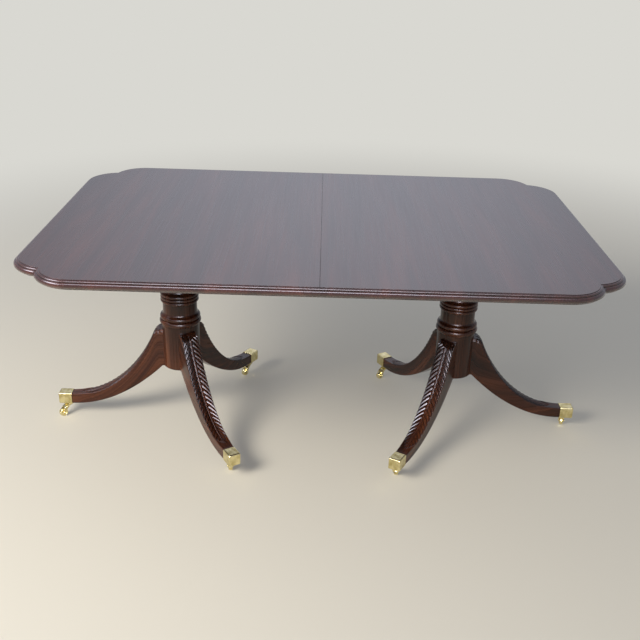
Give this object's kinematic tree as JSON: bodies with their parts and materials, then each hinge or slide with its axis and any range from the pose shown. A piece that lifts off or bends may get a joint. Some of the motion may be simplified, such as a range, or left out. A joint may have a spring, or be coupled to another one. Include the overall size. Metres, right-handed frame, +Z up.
{
  "type": "extension dining table",
  "caption": "Dining table with a shaped, moulded top in halves that draw apart on slides, turned pedestals, carved sabre legs and brass casters.",
  "frame": {"origin": "on the floor, below the middle of the closed joint between the two halves of the top", "axes": "+X along the table from the left half to the right half, +Y across it to the back, +Z up"},
  "size_m": [1.8184, 1.19, 0.75],
  "materials": {
    "top_mahogany": "polished",
    "mahogany": "polished",
    "slide_hardwood": "satin",
    "brass": "polished",
    "steel": "satin"
  },
  "bodies": {
    "left_half": {"alignment_pins": "brass", "top_left": "top_mahogany", "left_block": "slide_hardwood", "left_column": "mahogany", "left_retaining_plate": "steel", "left_top_screws": "steel", "left_plate_screws": "steel", "left_cup_screws": "brass", "left_lock_screws": "steel", "front_rail_left": "slide_hardwood", "front_lock_base": "steel", "back_rail_left": "slide_hardwood", "back_lock_base": "steel", "left_leg_outer": "mahogany", "left_cup_outer": "brass", "left_leg_front": "mahogany", "left_cup_front": "brass", "left_leg_back": "mahogany", "left_cup_back": "brass"},
    "right_half": {"top_right": "top_mahogany", "right_block": "slide_hardwood", "right_column": "mahogany", "right_retaining_plate": "steel", "right_top_screws": "steel", "right_plate_screws": "steel", "right_cup_screws": "brass", "right_lock_screws": "steel", "front_rail_right": "slide_hardwood", "front_lock_keeper": "steel", "back_rail_right": "slide_hardwood", "back_lock_keeper": "steel", "right_leg_outer": "mahogany", "right_cup_outer": "brass", "right_leg_front": "mahogany", "right_cup_front": "brass", "right_leg_back": "mahogany", "right_cup_back": "brass"},
    "centre_slides": {"front_rail_centre": "slide_hardwood", "back_rail_centre": "slide_hardwood"},
    "front_lock": {"front_lock_lever": "steel"},
    "back_lock": {"back_lock_lever": "steel"},
    "left_swivel_outer": {"left_fork_outer": "brass", "left_axle_outer": "brass"},
    "left_roller_outer": {"left_wheel_outer": "brass"},
    "left_swivel_front": {"left_fork_front": "brass", "left_axle_front": "brass"},
    "left_roller_front": {"left_wheel_front": "brass"},
    "left_swivel_back": {"left_fork_back": "brass", "left_axle_back": "brass"},
    "left_roller_back": {"left_wheel_back": "brass"},
    "right_swivel_outer": {"right_fork_outer": "brass", "right_axle_outer": "brass"},
    "right_roller_outer": {"right_wheel_outer": "brass"},
    "right_swivel_front": {"right_fork_front": "brass", "right_axle_front": "brass"},
    "right_roller_front": {"right_wheel_front": "brass"},
    "right_swivel_back": {"right_fork_back": "brass", "right_axle_back": "brass"},
    "right_roller_back": {"right_wheel_back": "brass"}
  },
  "joints": [
    {"name": "extend", "type": "slide", "parent": "left_half", "child": "right_half", "axis": [1, 0, 0], "range_m": [0, 0.61]},
    {"name": "centre_extend", "type": "slide", "parent": "left_half", "child": "centre_slides", "axis": [1, 0, 0], "range_m": [0, 0.305]},
    {"name": "left_swivel_outer", "type": "hinge", "parent": "left_half", "child": "left_swivel_outer", "pos_m": [-0.876, 0, 0.05], "axis": [0, 0, 1], "continuous": true},
    {"name": "left_roll_outer", "type": "hinge", "parent": "left_swivel_outer", "child": "left_roller_outer", "pos_m": [-0.89607, -0.01807, 0.015], "axis": [0.6691, -0.7431, 0], "continuous": true},
    {"name": "left_swivel_front", "type": "hinge", "parent": "left_half", "child": "left_swivel_front", "pos_m": [-0.267, -0.35161, 0.05], "axis": [0, 0, 1], "continuous": true},
    {"name": "left_roll_front", "type": "hinge", "parent": "left_swivel_front", "child": "left_roller_front", "pos_m": [-0.27169, -0.32502, 0.015], "axis": [-0.9848, -0.1736, 0], "continuous": true},
    {"name": "left_swivel_back", "type": "hinge", "parent": "left_half", "child": "left_swivel_back", "pos_m": [-0.267, 0.35161, 0.05], "axis": [0, 0, 1], "continuous": true},
    {"name": "left_roll_back", "type": "hinge", "parent": "left_swivel_back", "child": "left_roller_back", "pos_m": [-0.28131, 0.32871, 0.015], "axis": [0.848, -0.5299, 0], "continuous": true},
    {"name": "right_swivel_outer", "type": "hinge", "parent": "right_half", "child": "right_swivel_outer", "pos_m": [0.876, 0, 0.05], "axis": [0, 0, 1], "continuous": true},
    {"name": "right_roll_outer", "type": "hinge", "parent": "right_swivel_outer", "child": "right_roller_outer", "pos_m": [0.88523, 0.02537, 0.015], "axis": [-0.9397, 0.342, 0], "continuous": true},
    {"name": "right_swivel_front", "type": "hinge", "parent": "right_half", "child": "right_swivel_front", "pos_m": [0.267, -0.35161, 0.05], "axis": [0, 0, 1], "continuous": true},
    {"name": "right_roll_front", "type": "hinge", "parent": "right_swivel_front", "child": "right_roller_front", "pos_m": [0.26465, -0.32471, 0.015], "axis": [-0.9962, -0.0872, 0], "continuous": true},
    {"name": "right_swivel_back", "type": "hinge", "parent": "right_half", "child": "right_swivel_back", "pos_m": [0.267, 0.35161, 0.05], "axis": [0, 0, 1], "continuous": true},
    {"name": "right_roll_back", "type": "hinge", "parent": "right_swivel_back", "child": "right_roller_back", "pos_m": [0.24693, 0.33354, 0.015], "axis": [0.6691, -0.7431, 0], "continuous": true},
    {"name": "front_lock_turn", "type": "hinge", "parent": "left_half", "child": "front_lock", "pos_m": [-0.03, -0.33, 0.7137], "axis": [0, 0, 1], "range_deg": [-74, 0]},
    {"name": "back_lock_turn", "type": "hinge", "parent": "left_half", "child": "back_lock", "pos_m": [-0.03, 0.33, 0.7137], "axis": [0, 0, -1], "range_deg": [-74, 0]}
  ],
  "couplings": [
    {"joint": "centre_extend", "follows": "extend", "ratio": 0.5}
  ]
}
